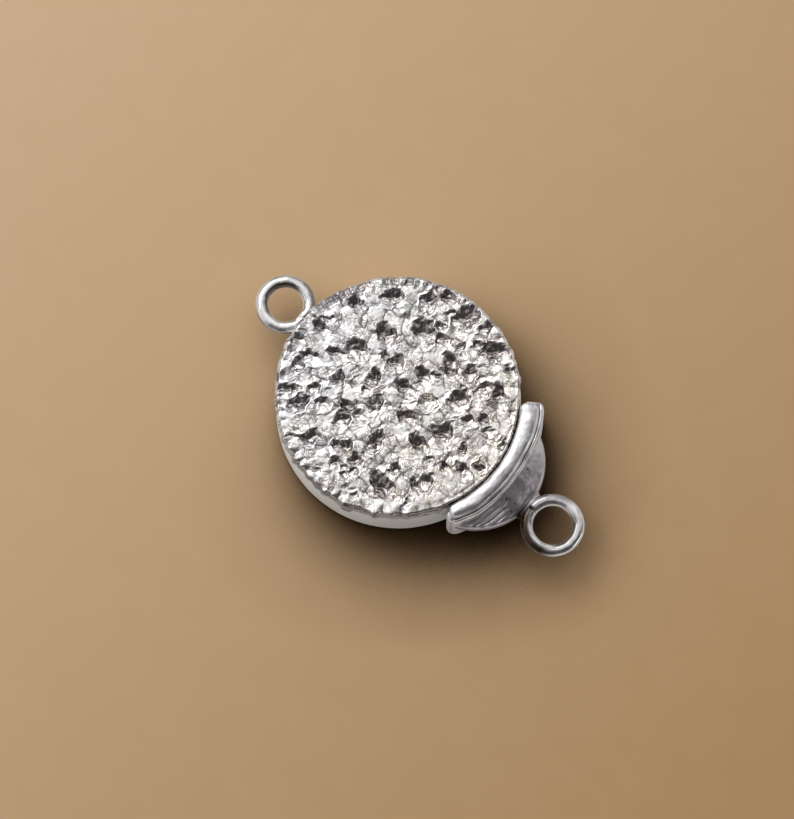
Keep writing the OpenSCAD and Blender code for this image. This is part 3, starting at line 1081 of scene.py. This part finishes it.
@dataclass
class Catch:
    """The catch: end cap with its ridge, half-moon shoulder, ring and folded tongue."""

    inner: float = 7.6
    outer: float = 8.79
    foot: float = 0.1
    shoulder: float = 3.48
    ridge_top: float = 4.0
    ridge_in: float = 7.47
    ridge_out: float = 8.53
    low_deg: float = -23.0
    high_deg: float = 34.0
    moon_x: float = 6.0
    moon_y: float = 0.2
    moon_r: float = 4.3
    moon_foot: float = 0.9
    moon_rim: float = 2.3
    moon_root: float = 3.47
    moon_arc_deg: tuple[float, float] = (-26.5, 29.0)
    moon_seat_r: float = 8.35
    ring: WireRing = field(
        default_factory=lambda: WireRing(
            Vector((12.18, 0.19, 2.3)),
            outer_d=3.9,
            wire_d=0.74,
            seed=52,
            # painted shade on the wire beside the half-moon and its joint, where it mirrors dark surroundings
            painted_shade_stretches=(
                PaintedShadeStretch(-165.0, 85.0, -0.55, 0.1, 1.0),
                PaintedShadeStretch(95.0, 60.0, -0.3, 0.2, 0.55),
                PaintedShadeStretch(-30.0, 75.0, 0.2, -0.5, 0.75),
            ),
            uneven=0.065,
        )
    )
    strip_half_w: float = 2.8
    strip_t: float = 0.35
    strip_z: float = 1.75
    strip_half_h: float = 0.8
    strip_ends: tuple[float, float] = (8.1, 6.5)
    fold_x: float = -2.595
    finish: SilverFinish = SilverFinish(
        "polished_silver_cap",
        tint=(0.92, 0.91, 0.92),
        stain_and_shade=(0.32, 0.29, 0.33),
        stain_share=0.5,
        gloss=(0.24, 0.48),
        mark=0.2,
        mark_depth=0.016,
        stretch=(1.0, 0.45, 1.0),
        painted_shade_and_wear_share=0.9,
    )
    moon_finish: SilverFinish = SilverFinish(
        "drawn_silver_shoulder",
        tint=(0.66, 0.62, 0.65),
        stain_and_shade=(0.1, 0.08, 0.09),
        stain_share=0.2,
        gloss=(0.28, 0.42),
        mark=0.2,
        mark_depth=0.01,
        painted_shade_and_wear_share=0.95,
    )
    wire_finish: SilverFinish = SilverFinish(
        "polished_silver_catch_wire",
        tint=(0.78, 0.76, 0.77),
        stain_and_shade=(0.05, 0.036, 0.027),
        stain_share=0.12,
        gloss=(0.08, 0.2),
        mark=0.22,
        mark_depth=0.006,
        painted_shade_and_wear_share=0.95,
    )
    tongue_finish: SilverFinish = SilverFinish(
        "rolled_silver_strip",
        tint=(0.66, 0.655, 0.65),
        stain_and_shade=(0.42, 0.4, 0.39),
        stain_share=0.6,
        gloss=(0.3, 0.5),
        mark=0.12,
        mark_depth=0.012,
        stretch=(1.0, 6.0, 1.0),
    )

    def base_section(self) -> list[tuple[float, float]]:
        """Cross-section of the cap's base, radius and height, inner foot first."""
        inner, outer, top = self.inner, self.outer, self.shoulder
        points = [(inner + 0.1, self.foot), (inner + 0.02, self.foot + 0.08)]
        points += [(inner, self.foot + 0.2 + 0.33 * i) for i in range(10)]
        points += [(inner, top - 0.1), (inner + 0.03, top - 0.03), (inner + 0.1, top)]
        points += [(inner + 0.4, top), (8.3, top), (8.47, top - 0.02), (8.5, top - 0.06), (8.53, top - 0.05)]
        points += [(8.57, top - 0.015), (8.62, top), (8.67, top - 0.01), (8.715, top - 0.045), (8.75, top - 0.095)]
        points += [(8.78, top - 0.17), (outer, top - 0.27)]
        points += [(outer, top - 0.4 - 0.31 * i) for i in range(10)]
        points += [(outer - 0.02, self.foot + 0.08), (outer - 0.1, self.foot)]
        return points

    def ridge_section(self) -> list[tuple[float, float]]:
        """Cross-section of the half-round wire on the cap, radius and height."""
        width = self.ridge_out - self.ridge_in
        sunk = self.shoulder - 0.06
        crest = self.ridge_top - 0.01
        points = [(self.ridge_in + 0.02, sunk), (self.ridge_in, self.shoulder + 0.08)]
        for i in range(25):
            t = i / 24
            side = (t - 0.5) / 0.5
            drop = (0.15 * side**2 + 0.06 * side**8) if side < 0 else (0.18 * side**2 + 0.16 * side**8)
            points.append((self.ridge_in + width * (0.015 + 0.97 * t), crest - drop))
        points.append((self.ridge_out, sunk))
        return points

    def sweep(
        self,
        name: str,
        section: list[tuple[float, float]],
        ends: tuple[tuple[float, float], tuple[float, float]],
        keep_top: bool,
        wear: float,
        material: bpy.types.Material,
    ) -> bpy.types.Object:
        """Turns a cross-section along the cap's arc and rounds its ends.

        Args:
            name: the piece's name.
            section: radius and height round the section.
            ends: how far the lower and the upper end reach past the arc, and how round they are, from
                0 for square to 1.
            keep_top: whether the ends keep their full height.
            wear: size of the slight waves in its skin.
            material: its finish.

        Returns:
            The piece.
        """
        mould = Mould()
        low, high = math.radians(self.low_deg), math.radians(self.high_deg)
        first = mould.polyline([Vector((r * math.cos(low), r * math.sin(low), z)) for r, z in section], closed=True)
        geom = list({v for e in first for v in e.verts}) + first
        spun = bmesh.ops.spin(
            mould.bm, geom=geom, cent=Vector(), axis=UPWARDS, angle=high - low, steps=90, use_merge=False
        )
        last = [g for g in spun["geom_last"] if isinstance(g, bmesh.types.BMEdge)]
        middle = (min(r for r, _ in section) + max(r for r, _ in section)) / 2
        sunk = None if keep_top else min(z for _, z in section)
        for loop, angle, side, (length, roundness) in ((first, low, -1, ends[0]), (last, high, 1, ends[1])):
            self._round_end(mould, loop, angle, side, length, middle, roundness, sunk)
        mould.face_out()

        co = mould.coords()
        radius = np.hypot(co[:, 0], co[:, 1])
        degrees = np.degrees(np.arctan2(co[:, 1], co[:, 0]))
        flare = 0.15 * ramp(12.0, 30.0, degrees) - 0.15 * ramp(-14.0, -24.0, degrees)
        co[:, :2] *= (1.0 + ramp(7.9, 8.7, radius) * flare / radius)[:, None]
        wave = wear * Grain(61).layers(co[:, 0], co[:, 1], (1.0, 0.9), (0.25, 0.3))
        co[:, 2] += wave * (co[:, 2] > self.shoulder - 0.5)
        co[:, 2] = np.minimum(co[:, 2], self.ridge_top + 0.03)
        mould.set_coords(co)

        arc, brushed = np.radians(degrees) * middle, Grain(62)
        wear_and_shade = 0.15 + 0.45 * brushed.at(arc / 0.9, radius / 0.08) + 0.5 * brushed.at(arc / 0.8 + 9.0, radius / 0.35)
        # painted shade on the ridge's outer side towards its lower end
        wear_and_shade += 0.35 * ramp(8.2, 8.4, radius) * ramp(8.0, -8.0, degrees) * (co[:, 2] > self.shoulder + 0.05)
        # painted shade in the crease beside the ridge on the base's top
        past = np.maximum(np.maximum(self.low_deg - degrees, degrees - self.high_deg), 0.0)
        ridge_crease_shade = ramp(8.57, 8.53, radius) * ramp(0.56, 0.49, np.radians(past) * middle)
        on_base = (co[:, 2] < self.shoulder + 0.01) * (co[:, 2] > self.shoulder - 0.12)
        tones = {"painted_shade_and_wear": np.clip(np.maximum(wear_and_shade, 1.1 * ridge_crease_shade * on_base), 0.0, 1.1)}
        return mould.piece(name, Body.CATCH, material, ("catch_cap",), 50.0, tones)

    def _round_end(
        self,
        mould: Mould,
        loop: list[bmesh.types.BMEdge],
        angle: float,
        side: int,
        length: float,
        middle: float,
        roundness: float,
        sunk: float | None,
    ) -> None:
        """Rounds one end of a swept bar.

        Args:
            mould: the bar's mould.
            loop: the open loop at that end.
            angle: where the loop stands.
            side: -1 at the lower end and 1 at the upper.
            length: how far the end reaches past the loop.
            middle: radius of the bar's middle line.
            roundness: how round the end is, from 0 for square to 1.
            sunk: height that the end comes down to, or None to keep its height.
        """
        out = Vector((math.cos(angle), math.sin(angle), 0))
        along = UPWARDS.cross(out) * side
        steps = 10
        base = {v: (v.co.dot(out) - middle, v.co.z) for e in loop for v in e.verts}
        for i in range(1, steps + 1):
            a = math.pi / 2 * i / steps
            wide = math.cos(a) ** roundness if i < steps else 0.08
            fall = (1.0 - math.cos(a)) ** 2
            grew_from, loop = mould.extend(loop)
            base = {v: base[old] for v, old in grew_from.items()}
            for v, (u, z) in base.items():
                if sunk is None:
                    share = (z - self.foot) / (self.shoulder - self.foot)
                    z = self.foot + 0.25 * fall + share * (self.shoulder - self.foot - 0.65 * fall)
                else:
                    z = sunk + (z - sunk) * max(wide, 0.05) ** 0.7
                v.co = out * (middle + u * wide) + along * (length * math.sin(a)) + UPWARDS * z
        bmesh.ops.holes_fill(mould.bm, edges=loop, sides=0)

    def half_moon(self) -> bpy.types.Object:
        """Makes the domed half-moon shoulder between the cap and the ring.

        Returns:
            The piece.
        """
        mould = Mould()
        bmesh.ops.create_grid(mould.bm, x_segments=150, y_segments=70, size=1.0)
        co = mould.coords()
        s, t = (co[:, 0] + 1.0) / 2.0, (co[:, 1] + 1.0) / 2.0
        low, high = (math.radians(deg) for deg in self.moon_arc_deg)
        phi = low + (high - low) * s
        x0, y0 = self.moon_seat_r * np.cos(phi), self.moon_seat_r * np.sin(phi)
        corners = [(self.moon_seat_r * math.cos(end), self.moon_seat_r * math.sin(end)) for end in (low, high)]
        first, last = (math.atan2(y - self.moon_y, x - self.moon_x) for x, y in corners)
        psi = first + (last - first) * s
        x1, y1 = self.moon_x + self.moon_r * np.cos(psi), self.moon_y + self.moon_r * np.sin(psi)
        x, y = x0 + (x1 - x0) * t, y0 + (y1 - y0) * t
        mould.set_coords(np.stack([x, y, self.moon_height(x, y)], axis=1))

        sides = mould.open_edges()
        rim_z = {v: v.co.z for e in sides for v in e.verts}
        middle = Vector((7.9, self.moon_y, 0))
        for sink, tuck in ((0.06, 0.0), (0.2, 0.02), (0.5, 0.06), (0.8, 0.08), (1.0, 0.1)):
            grew_from, sides = mould.extend(sides)
            rim_z = {v: rim_z[above] for v, above in grew_from.items()}
            for v, above in grew_from.items():
                z = min(above.co.z, rim_z[v] + (self.moon_foot - rim_z[v]) * sink)
                v.co = above.co.lerp(middle, tuck)
                v.co.z = z
        bmesh.ops.holes_fill(mould.bm, edges=sides, sides=0)
        mould.face_out()
        x, y, z = mould.coords().T
        # painted shade on the side below the rim and near the ring's joint; the nicks are real black marks
        tip = np.hypot(x - self.moon_x - self.moon_r - 0.1, y - self.moon_y + 0.5)
        below = 0.8 * ramp(self.moon_rim + 0.1, self.moon_rim - 0.15, z)
        tones = {"painted_shade_and_wear": np.maximum(np.maximum(self.nicks(x, y), below), 0.5 * ramp(0.8, 0.3, tip))}
        silver = self.moon_finish.build()
        return mould.piece("half_moon_shoulder", Body.CATCH, silver, ("catch_cap",), 50.0, tones)

    def moon_height(self, x: Array, y: Array) -> Array:
        """Height of the half-moon's upper skin."""
        dx, dy = x - self.moon_x, y - self.moon_y
        d = np.hypot(dx, dy) / self.moon_r
        root = (8.62 - self.moon_x) / self.moon_r
        z = self.moon_rim + (self.moon_root - self.moon_rim) * np.clip(1.0 - d**2, 0.0, None) / (1.0 - root**2)
        grain = Grain(41)
        radius = np.hypot(x, y)
        phi = np.degrees(np.arctan2(y, x))
        drawn = ramp(-3.0, -9.0, phi) * ramp(1.0, 0.94, d)
        sway = radius + 0.06 * grain.at(x / 0.9, y / 0.9)
        for at, rise in DRAWN_LINES:
            z += rise * drawn * np.exp(-(((sway - at) / 0.05) ** 2))
        z += 0.035 * ramp(1.0, 0.9, d) * grain.at(x / 0.7 + 5.0, y / 0.7)
        z += 0.012 * ramp(1.0, 0.9, d) * grain.at(x / 0.22 + 5.0, y / 0.22)
        z += 0.05 * np.exp(-(((d - 0.965) / 0.022) ** 2))
        z -= 0.22 * ramp(0.982, 1.0, d) ** 2
        return z - 0.012 * self.nicks(x, y)

    def nicks(self, x: Array, y: Array) -> Array:
        """Small black nicks in the half-moon's skin, 1 in their middle."""
        depth = np.zeros_like(x)
        for at_x, at_y, size in MOON_NICKS:
            depth = np.maximum(depth, np.exp(-(((x - at_x) ** 2 + (y - at_y) ** 2) / size**2)))
        return depth

    def loop(self) -> bpy.types.Object:
        """Makes the catch's ring with its solder fillets."""
        mould = Mould()
        self.ring.add_to(mould)
        y, z = self.ring.centre.y, self.ring.centre.z
        tip = self.moon_x + self.moon_r
        seat, waist = Vector((tip - 0.95, y, z + 0.02)), Vector((tip + 0.32, y, z - 0.2))
        spool(mould, seat, waist, (0.5, 0.9, 1.08, 1.1, 0.98, 0.7), 0.27)
        mould.fuse(SOLDER_GRAIN, 7)
        co = mould.coords()
        nick = np.exp(-(((co[:, 1] - y + 0.06) / 0.06) ** 2)) * (co[:, 0] < tip + 0.75) * (co[:, 0] > tip + 0.1)
        co[:, 2] -= 0.16 * nick * (co[:, 2] > z)
        mould.set_coords(co)
        mould.face_out()
        tones = {"painted_shade_and_wear": self.ring.tone(co)}
        silver = self.wire_finish.build()
        return mould.piece("catch_ring_soldered", Body.CATCH, silver, ("catch_cap",), tones=tones)

    def tongue(self) -> bpy.types.Object:
        """Makes the folded spring strip that grips inside the box."""
        mould = Mould()
        bm = mould.bm
        fold_r = self.strip_half_h - self.strip_t
        low_x, high_x = self.strip_ends
        path = [(low_x + (self.fold_x - low_x) * i / 24, -fold_r) for i in range(25)]
        for i in range(1, 13):
            a = math.pi * i / 12
            path.append((self.fold_x - fold_r * math.sin(a), -fold_r * math.cos(a)))
        path += [(self.fold_x + (high_x - self.fold_x) * i / 22, fold_r) for i in range(1, 23)]
        chain = mould.polyline([Vector((x, -self.strip_half_w, self.strip_z + z)) for x, z in path])
        rows = 12
        for _ in range(rows):
            grew_from, chain = mould.extend(chain)
            bmesh.ops.translate(bm, vec=(0, 2 * self.strip_half_w / rows, 0), verts=list(grew_from))
        mould.weld()
        mould.face_out()
        bmesh.ops.solidify(bm, geom=bm.faces[:], thickness=self.strip_t)
        heights = mould.coords()[:, 2]
        rise = self.strip_z - (heights.min() + heights.max()) / 2
        bmesh.ops.translate(bm, vec=UPWARDS * rise, verts=bm.verts[:])
        crisp = [e for e in bm.edges if e.is_manifold and e.calc_face_angle(0.0) > math.radians(60)]
        bmesh.ops.bevel(
            bm, geom=crisp, offset=0.05, offset_type="OFFSET", segments=2, profile=0.5, material=-1, affect="EDGES"
        )
        mould.face_out()
        return mould.piece("tongue_folded", Body.CATCH, self.tongue_finish.build(), ("tongue",))

    def build(self) -> None:
        """Makes the catch's pieces."""
        silver = self.finish.build()
        self.sweep("cap_base", self.base_section(), ((0.74, 0.72), (0.68, 0.5)), True, 0.01, silver)
        self.sweep("cap_ridge", self.ridge_section(), ((0.46, 0.62), (0.46, 0.5)), False, 0.045, silver)
        self.half_moon()
        self.loop()
        self.tongue()


@dataclass
class Studio:
    """Warm paper with painted shade, soft light from the picture's top left, and the camera."""

    elevation_deg: float = 77.0
    distance: float = 450.0
    lens: float = 324.4
    aim_right: float = -0.073
    aim_up: float = -0.835
    face_z: float = 3.9
    window: tuple[float, float] = (-0.7, 1.0)
    window_deg: float = 46.0
    opening: tuple[float, float] = (0.5, -1.0)
    lamp_reach: float = 0.6
    panels: float = 9.0
    panel_centre: float = 0.225
    fold: float = 1.0 / 3.4
    fold_share: float = 3.0
    tent: tuple[tuple[float, Colour], ...] = (
        (0.0, (0.76, 0.76, 0.76)),
        (0.2, (0.98, 0.98, 0.98)),
        (0.34, (0.98, 0.98, 0.98)),
        (0.42, (0.94, 0.94, 0.94)),
        (0.49, (0.82, 0.82, 0.82)),
        (0.56, (0.54, 0.54, 0.54)),
        (0.63, (0.33, 0.33, 0.33)),
        (0.72, (0.18, 0.175, 0.175)),
        (0.82, (0.11, 0.105, 0.105)),
    )
    floor_z: float = -0.02
    paper: tuple[Colour, Colour] = ((0.8, 0.57, 0.358), (0.53, 0.33, 0.162))
    painted_falloff: float = 0.036
    speck: float = 0.0025
    speck_share: float = 0.12
    shadow: Colour = (0.03, 0.012, 0.002)
    shadow_reach: float = 8.0
    painted_reflection: Colour = (0.62, 0.59, 0.54)
    painted_reflection_glow: float = 0.16

    def camera(self) -> None:
        """Sets the camera at the photograph's angle."""
        right, back = heading(1.0, 0.0), self.lean((0.0, -1.0), self.elevation_deg)
        up = back.cross(right)
        aim = UPWARDS * self.face_z + right * self.aim_right + up * self.aim_up
        data = bpy.data.cameras.new("camera")
        data.sensor_width = 36.0
        data.sensor_fit = "AUTO"
        data.lens = self.lens
        data.clip_start, data.clip_end = 0.01, 10.0
        camera = bpy.data.objects.new("camera", data)
        stand = Matrix.Translation((aim + back * self.distance) * MM)
        camera.matrix_world = stand @ Matrix((right, up, back)).transposed().to_4x4()
        bpy.context.scene.collection.objects.link(camera)
        bpy.context.scene.camera = camera

    def lamp(
        self,
        name: str,
        towards: tuple[float, float],
        height_deg: float,
        size: tuple[float, float],
        glow: float,
        colour: Colour,
    ) -> None:
        """Adds a soft lamp that faces the clasp.

        Args:
            name: the lamp's name.
            towards: its direction as shares of the picture's right and up.
            height_deg: its height above the table.
            size: width and height in metres.
            glow: brightness of its face.
            colour: tint.
        """
        place = self.lean(towards, height_deg) * self.lamp_reach
        data = bpy.data.lights.new(name, "AREA")
        data.shape = "RECTANGLE"
        data.size, data.size_y = size
        data.energy = glow * math.pi * size[0] * size[1]
        data.color = colour
        lamp = bpy.data.objects.new(name, data)
        lamp.location = place
        lamp.rotation_euler = place.to_track_quat("Z", "Y").to_euler()
        bpy.context.scene.collection.objects.link(lamp)

    def lean(self, towards: tuple[float, float], height_deg: float) -> Vector:
        """Direction that rises height_deg above a level one."""
        rise = math.radians(height_deg)
        return heading(*towards) * math.cos(rise) + UPWARDS * math.sin(rise)

    def floor(self) -> None:
        """Lays the warm paper, a hair under the box's back, with painted falloff, a painted shadow and a painted
        reflection.
        """
        bm = bmesh.new()
        bmesh.ops.create_grid(bm, x_segments=1, y_segments=1, size=1.5)
        bmesh.ops.translate(bm, vec=UPWARDS * self.floor_z * MM, verts=bm.verts[:])
        mesh = bpy.data.meshes.new("floor")
        bm.to_mesh(mesh)
        bm.free()
        material = bpy.data.materials.new("warm_paper")
        weave = Weave(material)
        place = weave.add("TexCoord", {}).outputs["Object"]
        # painted falloff: the paper is darker towards the picture's bottom right, as if lit from the top left
        across = weave.towards(place, heading(1.0, -1.0))
        speck = weave.noise(place, self.speck, 5.0).outputs["Fac"]
        painted_falloff = weave.spread(across, -self.painted_falloff, self.painted_falloff, (0.0, 1.0))
        light, deep = ((*colour, 1.0) for colour in self.paper)
        sheet = weave.blend(weave.sum_of("MULTIPLY_ADD", speck, self.speck_share, painted_falloff), light, deep)

        # painted shadow: the paper colour is pulled towards the shadow colour where the clasp blocks the view towards
        # the window
        window = dict(zip("XYZ", self.lean(self.window, self.window_deg)))
        open_sky = {"Distance": self.shadow_reach * MM, "Normal": weave.add("CombineXYZ", window).outputs["Vector"]}
        hidden = weave.add("AmbientOcclusion", open_sky, samples=8).outputs["AO"]
        sheet = weave.blend(weave.spread(hidden, 0.93, 0.46, (0.0, 1.0)), sheet, (*self.shadow, 1.0))

        # painted reflection: rays mirrored by the silver see a paler, more neutral sheet that also glows a little
        rays = weave.add("LightPath", {}).outputs
        mirrored = weave.sum_of("SUBTRACT", rays["Is Glossy Ray"], rays["Diffuse Depth"], use_clamp=True)
        skin = {
            "Roughness": 0.9,
            "Specular IOR Level": 0.1,
            "Base Color": weave.blend(mirrored, sheet, (*self.painted_reflection, 1.0)),
            "Emission Color": (1.0, 0.95, 0.88, 1.0),
            "Emission Strength": weave.sum_of("MULTIPLY", mirrored, self.painted_reflection_glow),
        }
        weave.feed(weave.tree.nodes["Principled BSDF"], skin)
        material.cycles.emission_sampling = "NONE"
        mesh.materials.append(material)
        floor = bpy.data.objects.new("floor", mesh)
        bpy.context.scene.collection.objects.link(floor)

    def dome(self) -> None:
        """Hangs a soft white tent that is open, and so dark, towards the picture's bottom."""
        world = bpy.data.worlds.new("tent")
        weave = Weave(world)
        look = weave.add("TexCoord", {}).outputs["Generated"]
        turned = weave.spread(weave.towards(look, heading(*self.opening)), -1.0, 1.0, (0.0, 1.0))
        cloth = weave.add("ValToRGB", {"Fac": turned})
        cloth.color_ramp.interpolation = "EASE"
        stops = cloth.color_ramp.elements
        for place, _ in self.tent[1:-1]:
            stops.new(place)
        for stop, (place, colour) in zip(stops, self.tent):
            stop.position = place
            stop.color = (*colour, 1.0)

        # soft panels, in rows that run along the picture's right and up
        waves = []
        for axis, centre in ((heading(1.0, 0.0), 0.0), (heading(0.0, 1.0), self.panel_centre)):
            turn = weave.sum_of("MULTIPLY_ADD", weave.towards(look, axis), self.panels, -self.panels * centre)
            waves.append(weave.sum_of("COSINE", turn))
        folds = weave.noise(look, self.fold, 2.0).outputs["Fac"]
        light = weave.sum_of("MULTIPLY_ADD", folds, self.fold_share, weave.sum_of("MULTIPLY", *waves))
        shade = {0: cloth.outputs["Color"], "Scale": weave.spread(light, 0.6, 2.3, (0.55, 1.1))}
        glow = weave.add("VectorMath", shade, operation="SCALE").outputs["Vector"]
        weave.feed(weave.tree.nodes["Background"], {"Strength": 1.0, "Color": glow})
        bpy.context.scene.world = world

    def build(self) -> None:
        """Makes the floor, the lamps, the tent and the camera."""
        self.floor()
        self.lamp("window", self.window, self.window_deg, (0.52, 0.36), 2.0, (1.0, 0.99, 0.97))
        self.lamp("edge", (1.0, -0.4), 5.0, (0.36, 0.09), 2.1, (1.0, 0.98, 0.97))
        self.dome()
        bpy.context.scene.view_settings.view_transform = "Standard"
        self.camera()


def main() -> None:
    """Builds the clasp and the studio around it."""
    logging.basicConfig(level=logging.INFO, format="%(message)s")
    Studio().build()
    RoundBox().build()
    Catch().build()


if __name__ == "__main__":
    main()
